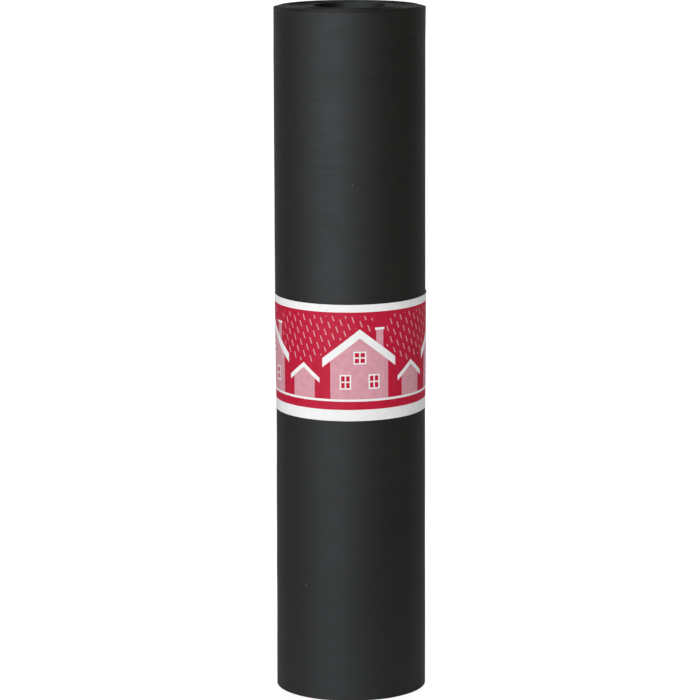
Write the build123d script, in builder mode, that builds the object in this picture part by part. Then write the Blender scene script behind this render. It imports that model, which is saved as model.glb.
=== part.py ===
"""A roll of black roofing felt that stands on its end, with a printed paper band round its middle.

The felt is one sheet, 36 in (914.4 mm) wide and 144 ft long. It is wound on itself round an open
bore and has no core. The roll is one turned solid. The edges of its turns don't lie quite in one
plane: groups of turns are shifted along the axis, and a slack gap parts each group from the next,
so each end is a set of low, grooved steps. The sheet is as wide everywhere, so a group that stands
proud at the top lies as far back at the bottom.

The band is a strip of paper that goes once round the roll and is glued where it laps itself, at
the back. It sits a little askew, lower at the front than at the back.

+Z is up, along the roll's axis. The origin is the centre of the bottom end, and the front faces -Y.
All lengths are in millimetres, and all angles in degrees.
"""

import os
from math import cos, degrees, radians, sin, tan

from build123d import *

# Felt roll
sheet_width = 914.4
roll_diameter = 199.0
bore_diameter = 96.0
rim_round = 1.5
bore_round = 0.8
# How far the turns are shifted along the axis, and each group's share of it from the bore outwards
turn_shift = 2.0
turn_shift_shares = (1.0, 0.55, 0.8, 0.3, 0.5, 0.1, 0.4, 0.0, 0.25, 0.55, 0.3, 0.7, 0.4, 1.0, 0.5, 0.0)
# The slack gap between two groups of turns
turn_gap = 0.6
turn_gap_depth = 1.5

# Paper band
band_width = 154.5
band_middle_height = 458.6
band_clearance = 0.05
paper_thickness = 0.15
lap_length = 40.0
lap_direction = 90.0
band_slope = 1.15
band_lean = 0.13

# How far a blank runs past the planes that trim it
overrun = 10.0

# Worked out from the sizes above
roll_radius = roll_diameter / 2
bore_radius = bore_diameter / 2
group_width = (roll_radius - bore_radius) / len(turn_shift_shares)
band_radius = roll_radius + band_clearance
lap_angle = degrees(lap_length / band_radius)


def end_line(height, gap_floor):
    """The line of one end, from the bore to the rim, as (radius, height) points.

    Each group of turns is a step above this height, and each gap goes in as far as its floor.
    """
    line = []
    for group, share in enumerate(turn_shift_shares):
        inner = bore_radius + group * group_width
        outer = inner + group_width
        step_height = height + share * turn_shift
        if group > 0:
            line.append((inner + turn_gap / 2, gap_floor))
            line.append((inner + turn_gap / 2, step_height))
        else:
            line.append((inner, step_height))
        if group < len(turn_shift_shares) - 1:
            line.append((outer - turn_gap / 2, step_height))
            line.append((outer - turn_gap / 2, gap_floor))
        else:
            line.append((outer, step_height))
    return line


def radial_plane(direction):
    """The plane through the axis whose X points outwards at this direction and whose Y is up."""
    angle = radians(direction)
    return Plane(
        origin=(0, 0, 0),
        x_dir=(cos(angle), sin(angle), 0),
        z_dir=(sin(angle), -cos(angle), 0),
    )


def band_edge_plane(height):
    """The sloping plane that one edge of the band lies in, at this height on the axis."""
    return Plane(
        origin=(0, 0, height),
        z_dir=(-tan(radians(band_lean)), -tan(radians(band_slope)), 1),
    )


# The felt: a stepped and grooved section turned round the axis, with its rims and the bore's
# mouths rounded
bottom_line = end_line(0, turn_shift + turn_gap_depth)
top_line = end_line(sheet_width, sheet_width - turn_gap_depth)
with BuildPart() as felt_roll:
    with BuildSketch(Plane.XZ):
        with BuildLine():
            Polyline(*bottom_line, *reversed(top_line), close=True)
        make_face()
    revolve(axis=Axis.Z)
    circles = felt_roll.edges().filter_by(GeomType.CIRCLE).group_by(SortBy.RADIUS)
    fillet(circles[-1], rim_round)
    fillet(circles[0], bore_round)
felt_roll.part.label = "felt_roll"

# The band: a full ring of paper and a second layer over the lap, both trimmed to the sloping edges
band_blank_height = band_width + 2 * overrun
with BuildPart() as label_band:
    with BuildSketch(Plane.XZ):
        with Locations((band_radius, band_middle_height)):
            Rectangle(paper_thickness, band_blank_height, align=(Align.MIN, Align.CENTER))
    revolve(axis=Axis.Z)
    with BuildSketch(radial_plane(lap_direction - lap_angle / 2)):
        with Locations((band_radius, band_middle_height)):
            Rectangle(2 * paper_thickness, band_blank_height, align=(Align.MIN, Align.CENTER))
    revolve(axis=Axis.Z, revolution_arc=lap_angle)
    split(bisect_by=band_edge_plane(band_middle_height - band_width / 2), keep=Keep.TOP)
    split(bisect_by=band_edge_plane(band_middle_height + band_width / 2), keep=Keep.BOTTOM)
label_band.part.label = "label_band"

os.makedirs("parts", exist_ok=True)
for piece in (felt_roll, label_band):
    export_step(piece.part, f"parts/{piece.part.label}.step")
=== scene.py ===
"""The looks of a roll of black roofing felt that stands on its end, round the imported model.

The felt is laid out flat as one long sheet, given its thickness and wound round the bore, turn on
turn, so that both ends show the real spiral of its cut edges. The paper band is laid out and
wrapped round the roll in the same way, with its glued lap at the back.

All lengths are in metres. The front of the roll faces -Y.
"""

import math

import bpy
from mathutils import Matrix, Vector, noise


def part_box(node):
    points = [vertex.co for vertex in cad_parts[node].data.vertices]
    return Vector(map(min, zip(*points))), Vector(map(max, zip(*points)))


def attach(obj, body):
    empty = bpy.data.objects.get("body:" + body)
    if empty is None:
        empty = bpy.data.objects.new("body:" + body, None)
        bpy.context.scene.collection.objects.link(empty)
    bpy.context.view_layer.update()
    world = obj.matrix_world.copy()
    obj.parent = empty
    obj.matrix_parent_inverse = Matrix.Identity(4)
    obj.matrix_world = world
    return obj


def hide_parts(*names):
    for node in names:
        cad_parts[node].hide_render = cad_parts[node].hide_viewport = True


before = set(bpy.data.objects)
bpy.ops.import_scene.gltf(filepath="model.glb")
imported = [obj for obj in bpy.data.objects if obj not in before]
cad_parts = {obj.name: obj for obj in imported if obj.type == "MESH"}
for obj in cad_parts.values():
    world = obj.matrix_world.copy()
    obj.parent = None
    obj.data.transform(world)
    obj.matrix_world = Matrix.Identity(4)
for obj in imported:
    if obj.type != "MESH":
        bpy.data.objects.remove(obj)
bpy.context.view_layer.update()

MM = 0.001
half = 0.5
roll_low, roll_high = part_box("felt_roll")
band_low, band_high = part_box("label_band")

# The felt sheet and the way it is wound
turn_shift = 2.0 * MM
sheet_width = roll_high.z - roll_low.z - turn_shift
roll_radius = roll_high.x
bore_radius = 48 * MM
felt_thickness = 0.48 * MM
sheet_length = 43.89
turns = sheet_length / (math.pi * (roll_radius + bore_radius))
columns_per_turn = 120
columns = round(turns * columns_per_turn)
turn_pitch = (roll_radius - bore_radius - felt_thickness) / (turns - 1)
free_end_direction = math.radians(78)
smooth_angle = math.radians(35)

# How far each group of turns is shifted along the axis, from the bore outwards
turn_shift_shares = (
    1.0, 0.55, 0.8, 0.3, 0.5, 0.1, 0.4, 0.0, 0.25, 0.55, 0.3, 0.7, 0.4, 1.0, 0.5, 0.0,
)
group_count = len(turn_shift_shares)
group_blend_start = 0.35
group_blend_span = 0.3

# The waver of the turns along the axis, as (columns to each wave, seed, depth)
waver_depth = 0.22 * MM
turn_wavers = ((37, 1.7, waver_depth), (6, 8.3, waver_depth / 3))

# The slack crescents that open between two groups of turns
crescent_depth = 0.62 * MM
crescent_least = 0.6
crescent_spread = 0.8
crescent_stride = 7
crescent_span_share = 0.72
golden_share = 0.382

# The outermost turn is fine enough to bulge a little where nothing holds it
outer_rows = 100
outer_columns = columns_per_turn + 4
bulge_depth = 0.45 * MM
bulge_grip = 0.11
bulge_start = 0.15
bulge_waves_round = 2
bulge_waves_up = 7
rim_flare = 0.5 * MM
rim_flare_reach = 0.05
rim_flare_turn = 0.4
foot_flare = 0.7 * MM
foot_flare_reach = 0.13
corner_lift = 3.2 * MM
corner_lift_reach = 0.055
corner_lift_least = 0.06
inner_lift = 2.5 * MM
inner_lift_reach = 0.030

# How far the roll's sides stand out, as (height, distance): slack above the band, pinched below
left_side = (
    (0, 0.4 * MM), (0.12, 0.45 * MM), (0.16, 0.6 * MM), (0.21, 0.32 * MM), (0.26, 0.22 * MM),
    (0.33, -0.25 * MM), (0.38, -0.1 * MM), (0.53, 0.85 * MM), (0.60, 0.75 * MM),
    (0.66, 0.57 * MM), (0.85, 0.56 * MM), (0.89, 0.22 * MM), (1, 0.22 * MM),
)
right_side = (
    (0, 0.15 * MM), (0.30, 0.08 * MM), (0.38, 0.15 * MM), (0.54, 0.45 * MM), (0.64, 0.2 * MM),
    (0.72, 0.13 * MM), (1, 0.13 * MM),
)

# The paper band
band_lap = 0.040
band_lap_ramp = 0.006
band_clearance = 0.10 * MM
lap_clearance = 0.025 * MM
paper_thickness = 0.15 * MM
band_slope = math.tan(math.radians(1.15))
band_lean = math.tan(math.radians(0.13))
band_middle = (band_low.z + band_high.z) / 2
band_width = band_high.z - band_low.z - 2 * band_high.x * band_slope
band_length = math.tau * (roll_radius + band_clearance) + band_lap
band_columns = 200
band_rows = 24
band_settle = 0.014

# Its wrinkles and lifted edges, with their waves to each metre along it and those across it
wrinkle_depth = 0.22 * MM
wrinkle_floor = 0.1
wrinkle_waves = (28, 2.3)
wrinkle_seed = 4.1
edge_lift = 0.5 * MM
edge_lift_share = 0.12
edge_waves = (11, 5)
edge_seed = 2.9

# Its slack on the roll's right side and its upper edge's flare there, over shares of its width
paper_slack = 0.5 * MM
paper_slack_share = 0.4
paper_flare = 0.6 * MM
paper_flare_share = 0.1

# All grain over a flat sheet, in patches of a length along the sheet and a width across it
sheet_map = "sheet"
grain_detail = 3
grain_roughness = 0.55

# The felt's face
fibre_patch = (4.5 * MM, 0.55 * MM)
fibre_detail = 5
fibre_roughness = 0.65
thread_patch = (22 * MM, 0.9 * MM)
streak_patch = (0.13, 2.6 * MM)
mottle_patch = (42 * MM, 17 * MM)
cloud_patch = (0.32, 0.15)
felt_dark = (0.0041, 0.0031, 0.0014, 1)
felt_light = (0.0097, 0.0076, 0.0036, 1)
felt_tone_span = (0.36, 0.64)
# The felt's face grows paler towards its foot, up to this height
felt_foot_pale = (0.0145, 0.0137, 0.0118, 1)
foot_pale_reach = 0.22
felt_tint = (0.81, 0.895, 1, 1)
felt_gloss = 0.57
felt_gloss_span = (0.41, 0.59)
felt_gloss_roughness = 0.59
felt_dull_roughness = 0.67
felt_relief = 0.13 * MM

# The shares of fibres, threads, streaks and mottle in its tone
felt_tone_shares = (0.35, 0.2, 0.15, 0.3)
# The shares of mottle, clouds and streaks in its gloss
felt_gloss_shares = (0.3, 0.2, 0.5)
# The shares of fibres, threads, streaks, rare marks and front marks in its relief
felt_relief_shares = (0.45, 0.35, 0.2, 1.5, 6.0)

# A painted highlight on the bore's far wall: a lighter strip across the sheet near its inner end
bore_painted_highlight = (0.035, 0.037, 0.037, 1)
painted_highlight_start = 0.180
painted_highlight_end = 0.247
painted_highlight_blur = 0.015

# Rare marks all over the sheet
mark_spacing = 70 * MM
mark_chance = 0.35
mark_radius = 1.6 * MM

# The marks in front, as (direction, height, radius); the middle of each is painted lighter: a
# painted highlight in the upper dent, and a light speck on the lower mark
front_marks = (
    (math.radians(-88.4), 0.6908, 2.3 * MM), (math.radians(-127.8), 0.1531, 2.5 * MM),
)
speck_and_glint_span = (0.3, 0.6)
speck_and_painted_glint = (0.05, 0.05, 0.05, 1)

# The felt's cut edge
turn_patch = (0.7, 1)
turn_detail = 1
edge_patch = (21 * MM, 1)
speckle_patch = (1.3 * MM, 1)
edge_dark = (0.0060, 0.0045, 0.0034, 1)
edge_light = (0.060, 0.049, 0.041, 1)
edge_tone_span = (0.38, 0.66)
edge_tint = (1, 0.90, 0.82, 1)
edge_gloss = 0.20
edge_gloss_roughness = 0.75
edge_dull_roughness = 0.95
edge_relief = 0.12 * MM
# The shares of turns, patches and speckle in its tone, and of patches and speckle in its relief
edge_tone_shares = (0.45, 0.3, 0.25)
edge_relief_shares = (0.4, 0.6)

# The band's print, in metres up from the strip's lower edge and along from its middle
ink_blur = 0.35 * MM
print_margin = 4 * MM
panel_low = 15 * MM
panel_high = band_width - 10 * MM
house_period = math.tau * roll_high.x / 4
house_shift = 12 * MM
roof_pitch = 0.78
ground_low = 26 * MM
ground_high = 29 * MM
house_wall = 39 * MM
house_eaves = 71 * MM
house_roof = 50 * MM
house_roof_thickness = 12 * MM
hut_wall = 17 * MM
hut_eaves = 50 * MM
hut_roof = 24 * MM
hut_roof_thickness = 6.5 * MM
window_bar = 1.8 * MM
loft_height = 84 * MM
loft_width = 17 * MM
room_side = 19 * MM
room_height = 52 * MM
room_width = 15 * MM
room_tall_share = 1.3
chimney_side = 27 * MM
chimney_width = 10 * MM
chimney_height = 122 * MM
chimney_cap = 3 * MM
rain_slant = 0.35
rain_spacing = 8.5 * MM
rain_width = 1.5 * MM
rain_fall = 15 * MM
rain_length = 8 * MM
rain_clearance = 5 * MM
sky_high = panel_high - 5 * MM

# The band's paper and inks
cloud_span = (0.35, 0.65)
ink_patch = (9 * MM, 9 * MM)
paper_fibre_patch = (1.1 * MM, 0.8 * MM)
crease_patch = (26 * MM, 60 * MM)
crimson_full = (0.465, 0.0072, 0.034, 1)
crimson_thin = (0.505, 0.010, 0.043, 1)
pink_full = (0.62, 0.29, 0.345, 1)
pink_thin = (0.665, 0.33, 0.385, 1)
paper_white = (0.86, 0.86, 0.86, 1)
paper_shaded = (0.83, 0.83, 0.83, 1)
bare_roughness = 0.7
inked_roughness = 0.56
paper_gloss = 0.18
paper_relief = 0.05 * MM
# The shares of fibres and creases in its relief
paper_relief_shares = (0.15, 0.85)

# The photograph's camera
camera_side = -0.545 * MM
camera_distance = 4.6347
camera_height = 1.2828
camera_tilt = 0.17643
camera_roll = -0.00321
camera_lens = 181.28
camera_sensor = 36
matrix_size = 4

# The floor, the backdrop and the softboxes, whose directions are in degrees from the front
floor_size = 80
floor_colour = (0.62, 0.62, 0.62, 1)
floor_roughness = 0.9
seen_floor_colour = (0.3, 0.3, 0.3, 1)
floor_glow_colour = (1, 1, 1, 1)
floor_glow = 0.84
backdrop_colour = (1, 1, 1, 1)
backdrop_edge = 0.5
backdrop_full = 0.8
backdrop_strength = 1.55
room_strength = 0.005
box_distance = 3.0
key_box = {"direction": -27, "height": 1.4, "width": 3.0, "tall": 2.9, "watts": 109}
fill_box = {"direction": 84, "height": 1.1, "width": 2.2, "tall": 2.2, "watts": 34}


def smooth_step(value):
    """0 below 0, 1 above 1, and a smooth rise between them."""
    clamped = min(max(value, 0.0), 1.0)
    return clamped * clamped * (3 - 2 * clamped)


def wave(x, y, z):
    """A smooth, repeatable value between about -1 and 1 at this place."""
    return noise.noise(Vector((x, y, z)))


def deselect_all():
    """Leaves nothing selected."""
    bpy.ops.object.select_all(action="DESELECT")


def apply_modifier(piece, kind, **settings):
    """Adds a modifier to the piece, sets it up and applies it."""
    modifier = piece.modifiers.new(kind.title(), kind)
    for setting, value in settings.items():
        setattr(modifier, setting, value)
    bpy.context.view_layer.objects.active = piece
    bpy.ops.object.modifier_apply(modifier=modifier.name)


def lay_out_strip(name, length, width, along, across, materials):
    """A flat, upright strip from the origin towards +X, cut into columns and rows."""
    deselect_all()
    bpy.ops.mesh.primitive_grid_add(
        x_subdivisions=along,
        y_subdivisions=across,
        size=1,
        location=(length / 2, 0, width / 2),
        rotation=(math.pi / 2, 0, 0),
    )
    strip = bpy.context.active_object
    strip.name = name
    strip.data.name = name
    strip.scale = (length, width, 1)
    bpy.ops.object.transform_apply(location=True, rotation=True, scale=True)
    for material in materials:
        strip.data.materials.append(material)
    return strip


def cut_rows(strip, start, cuts):
    """Cuts the strip crosswise into rows, from this distance along it to its end."""
    deselect_all()
    strip.select_set(True)
    bpy.context.view_layer.objects.active = strip
    bpy.context.tool_settings.mesh_select_mode = (False, True, False)
    bpy.ops.object.mode_set(mode="EDIT")
    bpy.ops.mesh.select_all(action="DESELECT")
    bpy.ops.object.mode_set(mode="OBJECT")
    mesh = strip.data
    for edge in mesh.edges:
        first, second = (mesh.vertices[i].co for i in edge.vertices)
        edge.select = abs(first.x - second.x) < MM and first.x > start
    bpy.ops.object.mode_set(mode="EDIT")
    bpy.ops.mesh.subdivide(number_cuts=cuts)
    bpy.ops.object.mode_set(mode="OBJECT")


def wrap_strip(strip, length, count, place, distance_along):
    """Moves each vertex of the flat strip to its place and writes a UV map in metres.

    place(column, height, offset) gives where a vertex goes, and distance_along(column) how far
    along the real sheet that column lies.
    """
    mesh = strip.data
    flat = [(v.co.x * count / length, v.co.z, -v.co.y) for v in mesh.vertices]
    mesh.uv_layers.active.name = sheet_map
    places = mesh.uv_layers[sheet_map].data
    for loop in mesh.loops:
        column, height, _ = flat[loop.vertex_index]
        places[loop.index].uv = (distance_along(column), height)
    for vertex, (column, height, offset) in zip(mesh.vertices, flat):
        vertex.co = place(column, height, offset)


# The winding: the radius and the distance along the sheet at each column
def crescent_gap(column):
    """The slack left under this column by the crescents between the groups of turns."""
    gap = 0.0
    for group in range(1, group_count):
        turn = round(group * turns / group_count) + (group * golden_share) % 1
        along = (column / columns_per_turn - turn) / crescent_span_share
        if 0 < along < 1:
            size = (group * crescent_stride) % group_count / group_count
            depth = crescent_depth * (crescent_least + crescent_spread * size)
            gap += depth * math.sin(math.pi * along) ** 2
    return gap


def wind_radii():
    """The radius of the sheet's middle line at each column, from the bore outwards.

    Each turn lies on the one before it, with its share of the slack between them, and the slack
    is shared out so that the outside comes out round.
    """
    gaps = [crescent_gap(column) for column in range(columns + 1)]
    start = bore_radius + felt_thickness / 2
    end = roll_radius + turn_pitch / 2 - felt_thickness / 2
    radii = []
    even_gaps = []
    for column in range(columns_per_turn):
        steps = (columns - column) // columns_per_turn
        last = column + steps * columns_per_turn
        first_radius = start + turn_pitch * column / columns_per_turn
        last_radius = end - turn_pitch * (columns - last) / columns_per_turn
        slack = last_radius - first_radius - steps * felt_thickness
        slack -= sum(gaps[column + columns_per_turn::columns_per_turn])
        radii.append(first_radius)
        even_gaps.append(slack / steps)
    for column in range(columns_per_turn, columns + 1):
        gap = gaps[column] + even_gaps[column % columns_per_turn]
        radii.append(radii[column - columns_per_turn] + felt_thickness + gap)
    return radii


def measure_lengths(radii):
    """How far along the sheet each column lies."""
    lengths = [0.0]
    for before, after in zip(radii, radii[1:]):
        lengths.append(lengths[-1] + (before + after) / 2 * math.tau / columns_per_turn)
    return lengths


def column_direction(column):
    """The direction of this column round the axis, so that the last one ends at the free end."""
    return free_end_direction + (column - columns) * math.tau / columns_per_turn


def column_shift(column):
    """How far the turns at this column are shifted along the axis."""
    place = column / columns * group_count - half
    group = min(max(math.floor(place), 0), group_count - 1)
    following = min(group + 1, group_count - 1)
    blend = smooth_step((place - group - group_blend_start) / group_blend_span)
    share = turn_shift_shares[group] * (1 - blend) + turn_shift_shares[following] * blend
    waver = sum(depth * wave(column / span, 0, seed) for span, seed, depth in turn_wavers)
    return min(max(share * turn_shift + waver, 0), turn_shift)


def side_swell(side, height):
    """How far this side of the roll stands out at this height."""
    for (low, first), (high, second) in zip(side, side[1:]):
        if height <= high:
            return first + (second - first) * smooth_step((height - low) / (high - low))


def swell(direction, height):
    """How far the roll stands out here, most of all on its left."""
    right = math.cos(direction)
    if right > 0:
        return side_swell(right_side, height) * right
    return side_swell(left_side, height) * -right


def outer_bulge(column, height):
    """How far the outermost turn stands off the turn below it."""
    along = (column - (columns - columns_per_turn)) / columns_per_turn
    if along <= 0:
        return 0.0
    direction = column_direction(column)
    freedom = smooth_step((abs(height - band_middle) - band_width / 2) / bulge_grip)
    x = bulge_waves_round * math.cos(direction)
    y = bulge_waves_round * math.sin(direction)
    bulge = bulge_depth * freedom * (1 + wave(x, y, height * bulge_waves_up)) / 2
    rim = smooth_step(1 - (sheet_width - height) / rim_flare_reach)
    bulge += rim_flare * rim * max(math.cos(direction + rim_flare_turn), 0)
    foot = smooth_step(1 - height / foot_flare_reach)
    bulge += foot_flare * foot * max(-math.cos(direction), 0)
    bulge *= smooth_step(along / bulge_start)
    to_end = (columns - column) * roll_radius * math.tau / columns_per_turn
    corner = smooth_step(abs(height - band_middle) / (sheet_width / 2)) ** 2
    lift = corner_lift * smooth_step(1 - to_end / corner_lift_reach) ** 2
    lift *= corner_lift_least + (1 - corner_lift_least) * corner
    return bulge + lift * freedom


def inner_end_lift(column):
    """How far the sheet's inner end stands off into the bore."""
    along = column * bore_radius * math.tau / columns_per_turn
    return inner_lift * smooth_step(1 - along / inner_lift_reach)


# The felt
felt_radii = wind_radii()
felt_lengths = measure_lengths(felt_radii)


def felt_place(column, height, offset):
    """Where a point of the flat felt sheet goes when the sheet is wound."""
    nearest = min(round(column), columns)
    direction = column_direction(nearest)
    radius = felt_radii[nearest] + outer_bulge(nearest, height) + offset
    radius += swell(direction, height) - inner_end_lift(nearest)
    rise = roll_low.z + height + column_shift(nearest)
    return Vector((radius * math.cos(direction), radius * math.sin(direction), rise))


def felt_distance(column):
    """How far along the felt sheet a column of the flat strip lies."""
    return felt_lengths[round(column)]


def make_felt():
    """The sheet of felt, wound into the roll."""
    materials = (felt_face_finish(), felt_edge_finish())
    felt = lay_out_strip("felt_sheet", sheet_length, sheet_width, columns, 1, materials)
    outer_start = (columns - outer_columns - half) * sheet_length / columns
    cut_rows(felt, outer_start, outer_rows - 1)
    apply_modifier(
        felt, "SOLIDIFY", thickness=felt_thickness, offset=0, material_offset_rim=1
    )
    wrap_strip(felt, sheet_length, columns, felt_place, felt_distance)
    return felt


# The paper band
def skin_radius(direction, height):
    """The radius of the felt's outside in this direction, smoothed over its free end's step."""
    back = (free_end_direction - direction) % math.tau
    column = columns - back * columns_per_turn / math.tau
    step_reach = (math.tau - back) * roll_radius / band_settle
    settle = turn_pitch * smooth_step(1 - step_reach)
    whole = math.floor(column)
    part = column - whole
    radius = felt_radii[whole] * (1 - part) + felt_radii[min(whole + 1, columns)] * part
    return radius + felt_thickness / 2 + swell(direction, height) + settle


def paper_stand_off(direction, along, across):
    """How far the paper stands off the roll by its lap, its wrinkles, its edges and its slack."""
    lapped = along - (band_length - band_lap)
    stand_off = (paper_thickness + lap_clearance) * smooth_step(lapped / band_lap_ramp + 1)
    waves, waves_across = wrinkle_waves
    wrinkle = wave(along * waves, across * waves_across, wrinkle_seed) - wrinkle_floor
    stand_off += wrinkle_depth * max(wrinkle, 0)
    to_edge = min(across, 1 - across)
    waves, edges_apart = edge_waves
    edge = wave(along * waves, round(across) * edges_apart, edge_seed)
    stand_off += edge_lift * smooth_step(1 - to_edge / edge_lift_share) * max(edge, 0)
    slack = paper_slack * smooth_step(across / paper_slack_share)
    slack += paper_flare * smooth_step(1 - (1 - across) / paper_flare_share)
    return stand_off + slack * max(math.cos(direction), 0) ** 2


def band_distance(column):
    """How far along the paper strip a column of it lies."""
    return column / band_columns * band_length


def band_place(column, height, offset):
    """Where a point of the flat paper strip goes when it is wrapped round the roll."""
    along = band_distance(column)
    direction = math.pi / 2 - band_lap / 2 / roll_radius + along / roll_radius
    rise = band_middle + height - band_width / 2
    radius = skin_radius(direction, rise) + band_clearance + paper_thickness / 2 + offset
    radius += paper_stand_off(direction, along, height / band_width)
    x = radius * math.cos(direction)
    y = radius * math.sin(direction)
    return Vector((x, y, rise + band_lean * x + band_slope * y))


def make_band():
    """The paper band, wrapped round the roll and lapped at the back."""
    materials = (band_print_finish(), band_edge_finish())
    band = lay_out_strip(
        "paper_band", band_length, band_width, band_columns, band_rows, materials
    )
    apply_modifier(
        band, "SOLIDIFY", thickness=paper_thickness, offset=0, material_offset_rim=1
    )
    wrap_strip(band, band_length, band_columns, band_place, band_distance)
    return band


# Materials
class Finish:
    """One material, built up round its main shader from a few kinds of node."""

    def __init__(self, name):
        self.material = bpy.data.materials.new(name)
        self.material.use_nodes = True
        self.tree = self.material.node_tree
        self.shader = self.tree.nodes["Principled BSDF"]

    def add(self, kind, **settings):
        """A new node of this kind, set up."""
        node = self.tree.nodes.new("ShaderNode" + kind)
        for setting, value in settings.items():
            setattr(node, setting, value)
        return node

    def feed(self, socket, source):
        """Gives a socket a plain value, or links another node's output to it."""
        if isinstance(source, bpy.types.NodeSocket):
            self.tree.links.new(source, socket)
        else:
            socket.default_value = source

    def shade(self, **sources):
        """Sets the main shader's sockets, named here with _ for each space."""
        for name, source in sources.items():
            self.feed(self.shader.inputs[name.replace("_", " ")], source)

    def math(self, operation, *sources, clamp=False):
        """The outcome of a sum on one value or more."""
        node = self.add("Math", operation=operation, use_clamp=clamp)
        for socket, source in zip(node.inputs, sources):
            self.feed(socket, source)
        return node.outputs["Value"]

    def gap(self, first, second):
        """How far apart two values are."""
        return self.math("ABSOLUTE", self.math("SUBTRACT", first, second))

    def blend(self, sources, shares):
        """The sum of values, each times its share."""
        total = 0.0
        for source, share in zip(sources, shares):
            total = self.math("MULTIPLY_ADD", source, share, total)
        return total

    def stretch(self, source, low, high, to_low, to_high):
        """Stretches the range from low to high over another range, and holds it at its ends."""
        node = self.add("MapRange")
        for socket, value in zip(node.inputs, (source, low, high, to_low, to_high)):
            self.feed(socket, value)
        return node.outputs["Result"]

    def rise(self, source, low, high):
        """0 up to the low value, 1 from the high one on, and a straight rise between them."""
        return self.stretch(source, low, high, 0, 1)

    def fade(self, source, low, high):
        """1 up to the low value, 0 from the high one on, and a straight fall between them."""
        return self.stretch(source, low, high, 1, 0)

    def mix(self, share, first, second):
        """The first colour where the share is 0, and the second where it is 1."""
        node = self.add("Mix", data_type="RGBA")
        sockets = [socket for socket in node.inputs if socket.enabled]
        for socket, source in zip(sockets, (share, first, second)):
            self.feed(socket, source)
        return next(socket for socket in node.outputs if socket.enabled)

    def sheet(self, patch=(1, 1)):
        """The place on the flat sheet, counted in patches of this length and width."""
        length, width = patch
        place = self.add("UVMap", uv_map=sheet_map)
        counted = self.add("Mapping")
        counted.inputs["Scale"].default_value = (1 / length, 1 / width, 1)
        self.feed(counted.inputs["Vector"], place.outputs["UV"])
        return counted.outputs["Vector"]

    def sheet_axes(self):
        """How far along the flat sheet and how far up it a place is."""
        axes = self.add("SeparateXYZ")
        self.feed(axes.inputs["Vector"], self.sheet())
        return axes.outputs["X"], axes.outputs["Y"]

    def grain(self, patch, detail=grain_detail, roughness=grain_roughness):
        """Cloudy noise over the flat sheet, with clouds of this length and width."""
        node = self.add("TexNoise", noise_dimensions="2D")
        self.feed(node.inputs["Vector"], self.sheet(patch))
        self.feed(node.inputs["Scale"], 1)
        self.feed(node.inputs["Detail"], detail)
        self.feed(node.inputs["Roughness"], roughness)
        return node.outputs["Fac"]

    def relief(self, height, depth):
        """Raises the surface by this height times the depth."""
        bump = self.add("Bump")
        self.feed(bump.inputs["Height"], height)
        self.feed(bump.inputs["Distance"], depth)
        self.feed(bump.inputs["Strength"], 1)
        self.feed(self.shader.inputs["Normal"], bump.outputs["Normal"])

    def less(self, first, second):
        """1 where the first is less than the second, 0 where it is more, with a soft edge."""
        lead = self.math("SUBTRACT", second, first)
        return self.math("MULTIPLY_ADD", lead, 1 / ink_blur, half, clamp=True)

    def both(self, first, *others):
        """The mask of what is in every one of these masks."""
        for other in others:
            first = self.math("MULTIPLY", first, other)
        return first

    def either(self, first, *others):
        """The mask of what is in any of these masks."""
        for other in others:
            first = self.math("MAXIMUM", first, other)
        return first


def draw_front_marks(felt):
    """How far into the marks in front a place is, from 0 at their rims to 1 in their middles."""
    marks = 0.0
    for direction, height, radius in front_marks:
        turned = free_end_direction - direction
        along = felt_lengths[-1] - turned * (roll_radius - felt_thickness)
        apart = felt.add("VectorMath", operation="DISTANCE")
        first, second, *_ = apart.inputs
        felt.feed(first, felt.sheet())
        felt.feed(second, (along, height, 0))
        marks = felt.either(felt.fade(apart.outputs["Value"], 0, radius), marks)
    return marks


def draw_rare_marks(felt):
    """How far into the rare marks all over the sheet a place is."""
    spots = felt.add("TexVoronoi", voronoi_dimensions="2D")
    felt.feed(spots.inputs["Vector"], felt.sheet((mark_spacing, mark_spacing)))
    felt.feed(spots.inputs["Scale"], 1)
    chance = felt.add("SeparateColor")
    felt.feed(chance.inputs["Color"], spots.outputs["Color"])
    rare = felt.math("GREATER_THAN", chance.outputs["Red"], 1 - mark_chance)
    spot = felt.fade(spots.outputs["Distance"], 0, mark_radius / mark_spacing)
    return felt.both(spot, rare)


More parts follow.
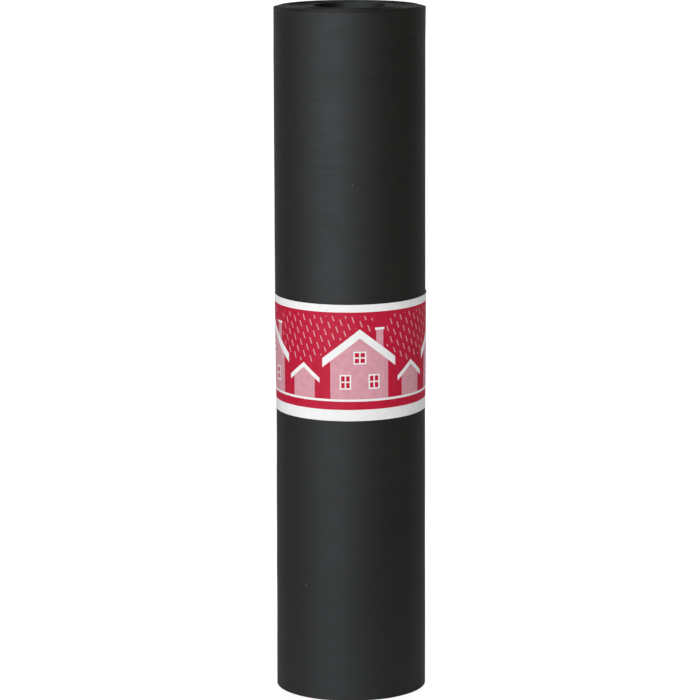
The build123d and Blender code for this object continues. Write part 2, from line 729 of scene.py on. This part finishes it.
def felt_face_finish():
    """Asphalt felt: fibres and streaks along it, a soft mottle and a few marks, paler towards the
    foot, with painted highlights in the bore and on one mark.
    """
    felt = Finish("felt_face")
    fibres = felt.grain(fibre_patch, fibre_detail, fibre_roughness)
    threads = felt.grain(thread_patch)
    streaks = felt.grain(streak_patch)
    mottle = felt.grain(mottle_patch)
    clouds = felt.grain(cloud_patch)
    along, up = felt.sheet_axes()
    tone = felt.blend((fibres, threads, streaks, mottle), felt_tone_shares)
    colour = felt.mix(felt.rise(tone, *felt_tone_span), felt_dark, felt_light)
    # Paler towards the foot
    toward_foot = felt.fade(up, 0, foot_pale_reach)
    colour = felt.mix(felt.both(toward_foot, toward_foot), colour, felt_foot_pale)
    # A painted highlight: part of the first turn is made lighter where it shows as the bore's far
    # wall
    painted_strip = felt.both(
        felt.rise(along, painted_highlight_start, painted_highlight_start + painted_highlight_blur),
        felt.fade(along, painted_highlight_end - painted_highlight_blur, painted_highlight_end),
    )
    colour = felt.mix(painted_strip, colour, bore_painted_highlight)
    marks = draw_front_marks(felt)
    # Lighter middles of the front marks: a painted highlight in the upper dent, a light speck on
    # the lower mark
    colour = felt.mix(felt.rise(marks, *speck_and_glint_span), colour, speck_and_painted_glint)
    gloss = felt.blend((mottle, clouds, streaks), felt_gloss_shares)
    felt.shade(
        Base_Color=colour,
        Roughness=felt.stretch(gloss, *felt_gloss_span, felt_gloss_roughness, felt_dull_roughness),
        Specular_Tint=felt_tint,
        Specular_IOR_Level=felt_gloss,
    )
    raised = (fibres, threads, streaks, draw_rare_marks(felt), marks)
    felt.relief(felt.blend(raised, felt_relief_shares), felt_relief)
    return felt.material


def felt_edge_finish():
    """The cut edge: brownish ends of fibres, and some turns paler or shinier than others."""
    felt = Finish("felt_cut_edge")
    turns_tone = felt.grain(turn_patch, turn_detail)
    patches = felt.grain(edge_patch)
    speckle = felt.grain(speckle_patch)
    tone = felt.blend((turns_tone, patches, speckle), edge_tone_shares)
    felt.shade(
        Base_Color=felt.mix(felt.rise(tone, *edge_tone_span), edge_dark, edge_light),
        Roughness=felt.stretch(patches, *cloud_span, edge_gloss_roughness, edge_dull_roughness),
        Specular_Tint=edge_tint,
        Specular_IOR_Level=edge_gloss,
    )
    felt.relief(felt.blend((patches, speckle), edge_relief_shares), edge_relief)
    return felt.material


def draw_house(paper, across, up, wall_half, eaves, roof_half, roof_thickness):
    """The masks of a gabled house, its walls and its roof, and the height of the roof's top."""
    aside = paper.math("ABSOLUTE", across)
    underside = paper.math("MULTIPLY_ADD", aside, -roof_pitch, eaves + roof_half * roof_pitch)
    top = paper.math("ADD", underside, roof_thickness)
    walls = paper.both(
        paper.less(aside, wall_half), paper.less(up, underside), paper.less(ground_high, up)
    )
    roof = paper.both(
        paper.less(aside, roof_half), paper.less(underside, up), paper.less(up, top)
    )
    return walls, roof, top


def draw_window(paper, aside, up, side, middle, width, height):
    """The masks of a window with four panes: its whole frame, and the panes alone."""
    across = paper.gap(aside, side)
    above = paper.gap(up, middle)
    window = paper.both(paper.less(across, width / 2), paper.less(above, height / 2))
    panes = paper.both(
        paper.less(across, width / 2 - window_bar), paper.less(above, height / 2 - window_bar),
        paper.less(window_bar / 2, across), paper.less(window_bar / 2, above),
    )
    return window, panes


def draw_chimney(paper, across, up, roof_top):
    """The masks of a chimney's stack and cap, and how far to the side of the chimney it is."""
    aside = paper.gap(across, chimney_side)
    stack = paper.both(
        paper.less(aside, chimney_width / 2), paper.less(roof_top, up),
        paper.less(up, chimney_height),
    )
    cap = paper.both(
        paper.less(aside, chimney_width / 2 + chimney_cap / 2),
        paper.less(paper.gap(up, chimney_height), chimney_cap / 2),
    )
    return stack, cap, aside


def draw_rain(paper, along, up, sky_low):
    """The mask of short slanting strokes in staggered columns, above this height."""
    slanted = paper.math("MULTIPLY_ADD", up, rain_slant, along)
    rain_columns = paper.math("DIVIDE", slanted, rain_spacing)
    aside = paper.gap(paper.math("FRACT", rain_columns), half)
    stroke = paper.less(paper.math("MULTIPLY", aside, rain_spacing), rain_width / 2)
    index = paper.math("FLOOR", rain_columns)
    fallen = paper.math("DIVIDE", up, rain_fall)
    fallen = paper.math("FRACT", paper.math("MULTIPLY_ADD", index, golden_share, fallen))
    lengthwise = paper.math("MULTIPLY", paper.gap(fallen, half), rain_fall)
    drop = paper.less(lengthwise, rain_length / 2)
    return paper.both(stroke, drop, paper.less(sky_low, up), paper.less(up, sky_high))


def draw_band(paper):
    """The band's printed colours, and where it is printed: a row of gabled houses in the rain."""
    strip, up = paper.sheet_axes()
    along = paper.math("SUBTRACT", strip, band_length / 2 + house_shift)
    halfway = paper.math("ADD", along, house_period / 2)
    across = paper.math("WRAP", along, house_period / 2, -house_period / 2)
    between = paper.math("WRAP", halfway, house_period / 2, -house_period / 2)
    walls, roof, top = draw_house(
        paper, across, up, house_wall, house_eaves, house_roof, house_roof_thickness
    )
    small_walls, small_roof, small_top = draw_house(
        paper, between, up, hut_wall, hut_eaves, hut_roof, hut_roof_thickness
    )
    aside = paper.math("ABSOLUTE", across)
    loft, loft_panes = draw_window(paper, aside, up, 0, loft_height, loft_width, loft_width)
    room, room_panes = draw_window(
        paper, aside, up, room_side, room_height, room_width, room_width * room_tall_share
    )
    stack, cap, from_stack = draw_chimney(paper, across, up, top)
    ground = paper.both(paper.less(ground_low, up), paper.less(up, ground_high))
    sky_low = paper.math("ADD", paper.either(top, small_top), rain_clearance)
    rain = draw_rain(paper, along, up, sky_low)
    rain = paper.both(rain, paper.less(chimney_width / 2 + rain_clearance, from_stack))
    panel = paper.both(
        paper.less(panel_low, up), paper.less(up, panel_high),
        paper.less(print_margin, strip), paper.less(strip, band_length - print_margin),
    )
    ink = paper.rise(paper.grain(ink_patch), *cloud_span)
    crimson = paper.mix(ink, crimson_full, crimson_thin)
    pink = paper.mix(ink, pink_full, pink_thin)
    bare = paper.mix(ink, paper_white, paper_shaded)
    colour = paper.mix(paper.either(walls, small_walls, stack), crimson, pink)
    colour = paper.mix(paper.either(roof, small_roof, ground, cap, loft, room), colour, bare)
    colour = paper.mix(paper.either(loft_panes, room_panes), colour, crimson)
    colour = paper.mix(rain, colour, pink_thin)
    return paper.mix(panel, bare, colour), panel


def band_print_finish():
    """Satin paper with crimson and pink print on white, a little glossier where it has ink."""
    paper = Finish("band_print")
    colour, inked = draw_band(paper)
    fibres = paper.grain(paper_fibre_patch)
    creases = paper.grain(crease_patch)
    paper.shade(
        Base_Color=colour,
        Roughness=paper.stretch(inked, 0, 1, bare_roughness, inked_roughness),
        Specular_IOR_Level=paper_gloss,
    )
    paper.relief(paper.blend((fibres, creases), paper_relief_shares), paper_relief)
    return paper.material


def band_edge_finish():
    """The paper's cut edge: bare white fibres."""
    paper = Finish("band_cut_edge")
    fibres = paper.rise(paper.grain(paper_fibre_patch), *cloud_span)
    paper.shade(
        Base_Color=paper.mix(fibres, paper_white, paper_shaded), Roughness=bare_roughness
    )
    return paper.material


def finish_piece(piece, node):
    """Gives a piece smooth faces and its place in the frame."""
    deselect_all()
    piece.select_set(True)
    bpy.context.view_layer.objects.active = piece
    bpy.ops.object.shade_smooth_by_angle(angle=smooth_angle)
    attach(piece, "root")
    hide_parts(node)


# The studio
def make_camera():
    """The photograph's camera: in front, above the roll's top and tilted down."""
    data = bpy.data.cameras.new("camera")
    camera = bpy.data.objects.new("camera", data)
    bpy.context.scene.collection.objects.link(camera)
    data.lens = camera_lens
    data.sensor_width = camera_sensor
    data.clip_end = floor_size * 2
    tilt = Matrix.Rotation(math.pi / 2 - camera_tilt, matrix_size, "X")
    roll = Matrix.Rotation(camera_roll, matrix_size, "Z")
    place = Matrix.Translation((camera_side, -camera_distance, camera_height))
    camera.matrix_world = place @ tilt @ roll
    bpy.context.scene.camera = camera


def make_floor():
    """A pale floor that the camera sees as white, with the roll's shadow on it."""
    deselect_all()
    bpy.ops.mesh.primitive_plane_add(size=floor_size)
    floor = bpy.context.active_object
    floor.name = "floor"
    finish = Finish("floor")
    finish.shade(Base_Color=floor_colour, Roughness=floor_roughness)
    seen = finish.add("BsdfPrincipled")
    finish.feed(seen.inputs["Base Color"], seen_floor_colour)
    finish.feed(seen.inputs["Emission Color"], floor_glow_colour)
    finish.feed(seen.inputs["Emission Strength"], floor_glow)
    rays = finish.add("LightPath")
    either = finish.add("MixShader")
    sources = (rays.outputs["Is Camera Ray"], finish.shader.outputs["BSDF"], seen.outputs["BSDF"])
    for socket, source in zip(either.inputs, sources):
        finish.feed(socket, source)
    output = finish.tree.nodes["Material Output"]
    finish.feed(output.inputs["Surface"], either.outputs["Shader"])
    floor.data.materials.append(finish.material)


def make_world():
    """A dim room with a white backdrop behind the roll; the camera sees plain white all round."""
    world = bpy.data.worlds.new("studio")
    world.use_nodes = True
    tree = world.node_tree
    room = tree.nodes["Background"]
    room.inputs["Color"].default_value = backdrop_colour
    direction = tree.nodes.new("ShaderNodeTexCoord")
    axes = tree.nodes.new("ShaderNodeSeparateXYZ")
    tree.links.new(direction.outputs["Generated"], axes.inputs["Vector"])
    behind = tree.nodes.new("ShaderNodeMapRange")
    behind.interpolation_type = "SMOOTHSTEP"
    behind.inputs["From Min"].default_value = backdrop_edge
    behind.inputs["From Max"].default_value = backdrop_full
    behind.inputs["To Min"].default_value = room_strength
    behind.inputs["To Max"].default_value = backdrop_strength
    tree.links.new(axes.outputs["Y"], behind.inputs["Value"])
    tree.links.new(behind.outputs["Result"], room.inputs["Strength"])
    seen = tree.nodes.new("ShaderNodeBackground")
    seen.inputs["Color"].default_value = backdrop_colour
    rays = tree.nodes.new("ShaderNodeLightPath")
    either = tree.nodes.new("ShaderNodeMixShader")
    is_seen = rays.outputs["Is Camera Ray"]
    sources = (is_seen, room.outputs["Background"], seen.outputs["Background"])
    for socket, source in zip(either.inputs, sources):
        tree.links.new(source, socket)
    tree.links.new(either.outputs["Shader"], tree.nodes["World Output"].inputs["Surface"])
    bpy.context.scene.world = world


def add_softbox(name, direction, height, width, tall, watts):
    """A soft rectangular light that faces the roll's middle from this direction."""
    data = bpy.data.lights.new(name, "AREA")
    data.shape = "RECTANGLE"
    data.size = width
    data.size_y = tall
    data.energy = watts
    light = bpy.data.objects.new(name, data)
    bpy.context.scene.collection.objects.link(light)
    angle = math.radians(direction)
    light.location = (box_distance * math.sin(angle), -box_distance * math.cos(angle), height)
    aim = Vector((0, 0, sheet_width / 2)) - light.location
    light.rotation_euler = aim.to_track_quat("-Z", "Y").to_euler()
    return light


def make_lights():
    """A tall softbox to the left of the camera, and a soft one that lifts the right-hand side."""
    add_softbox("key", **key_box)
    fill = add_softbox("fill", **fill_box)
    fill.visible_glossy = False


make_camera()
make_floor()
make_world()
make_lights()
finish_piece(make_felt(), "felt_roll")
finish_piece(make_band(), "label_band")
bpy.context.scene.view_settings.view_transform = "Standard"
